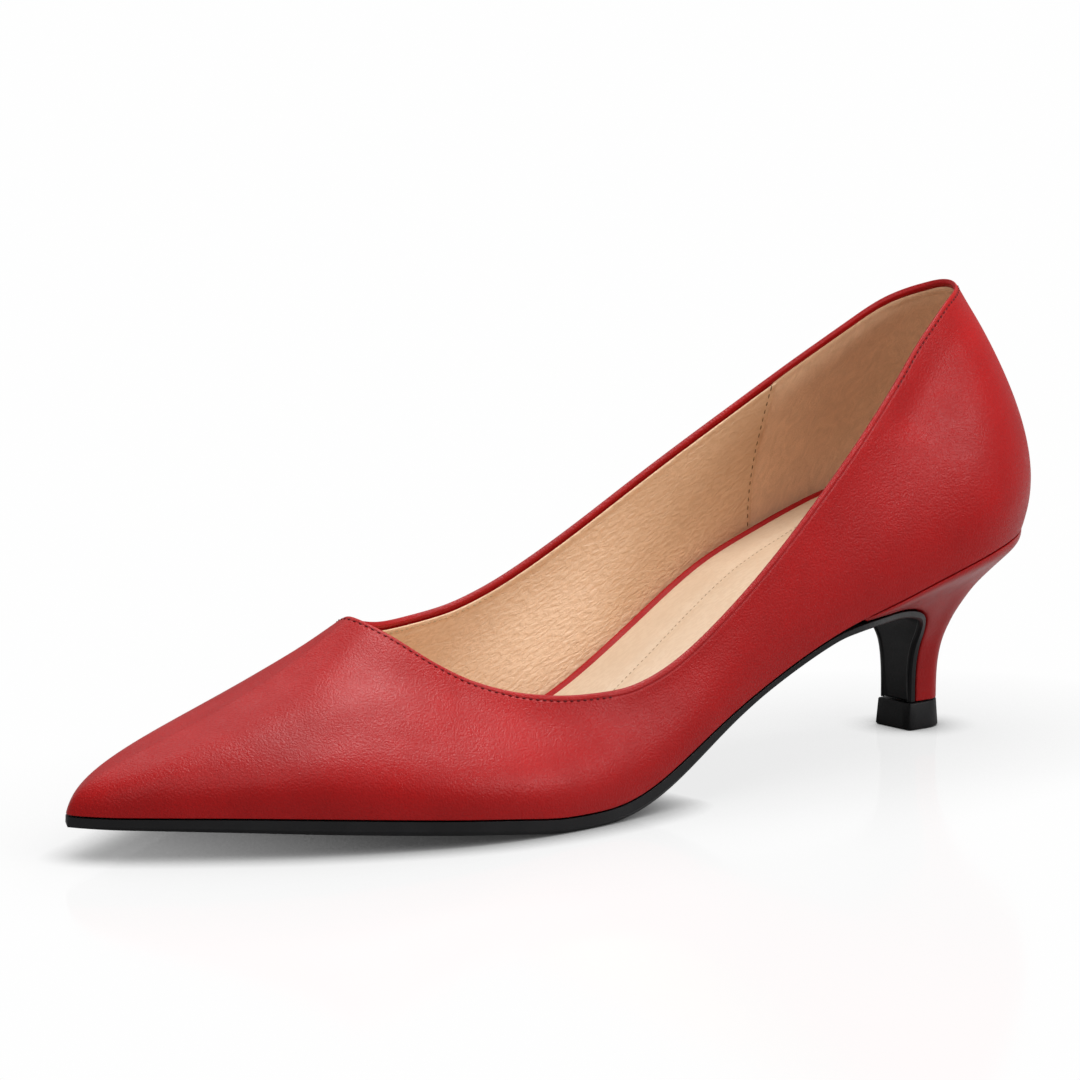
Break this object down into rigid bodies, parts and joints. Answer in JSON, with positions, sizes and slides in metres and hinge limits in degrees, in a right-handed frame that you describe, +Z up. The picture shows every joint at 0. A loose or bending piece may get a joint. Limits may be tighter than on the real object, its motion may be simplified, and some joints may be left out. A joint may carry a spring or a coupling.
{
  "type": "high heel shoe",
  "caption": "Woman's left pump with a pointed toe, low-cut hollow leather upper, padded sock, thin black sole running down the breast, and a low covered kitten heel.",
  "frame": {"origin": "centre of the shoe's bounding box, on the plane that its heel and forefoot stand on", "axes": "+X forward from heel to toe, +Y to the wearer's left, +Z up"},
  "size_m": [0.255, 0.0786, 0.0984],
  "materials": {
    "red_leather": "smooth fine-grained leather, satin",
    "wrapped_board": "thin leather wrapped over the board's edge, satin",
    "sock_leather": "natural lining leather, matte",
    "black_sole": "smooth resin sole, satin",
    "heel_cover": "leather stretched over a moulded heel, satin",
    "top_piece": "moulded wear pad, matte"
  },
  "bodies": {
    "root": {"upper": "red_leather", "insole": "wrapped_board", "sock": "sock_leather", "outsole": "black_sole", "heel": "heel_cover", "top_piece": "top_piece"}
  },
  "joints": []
}
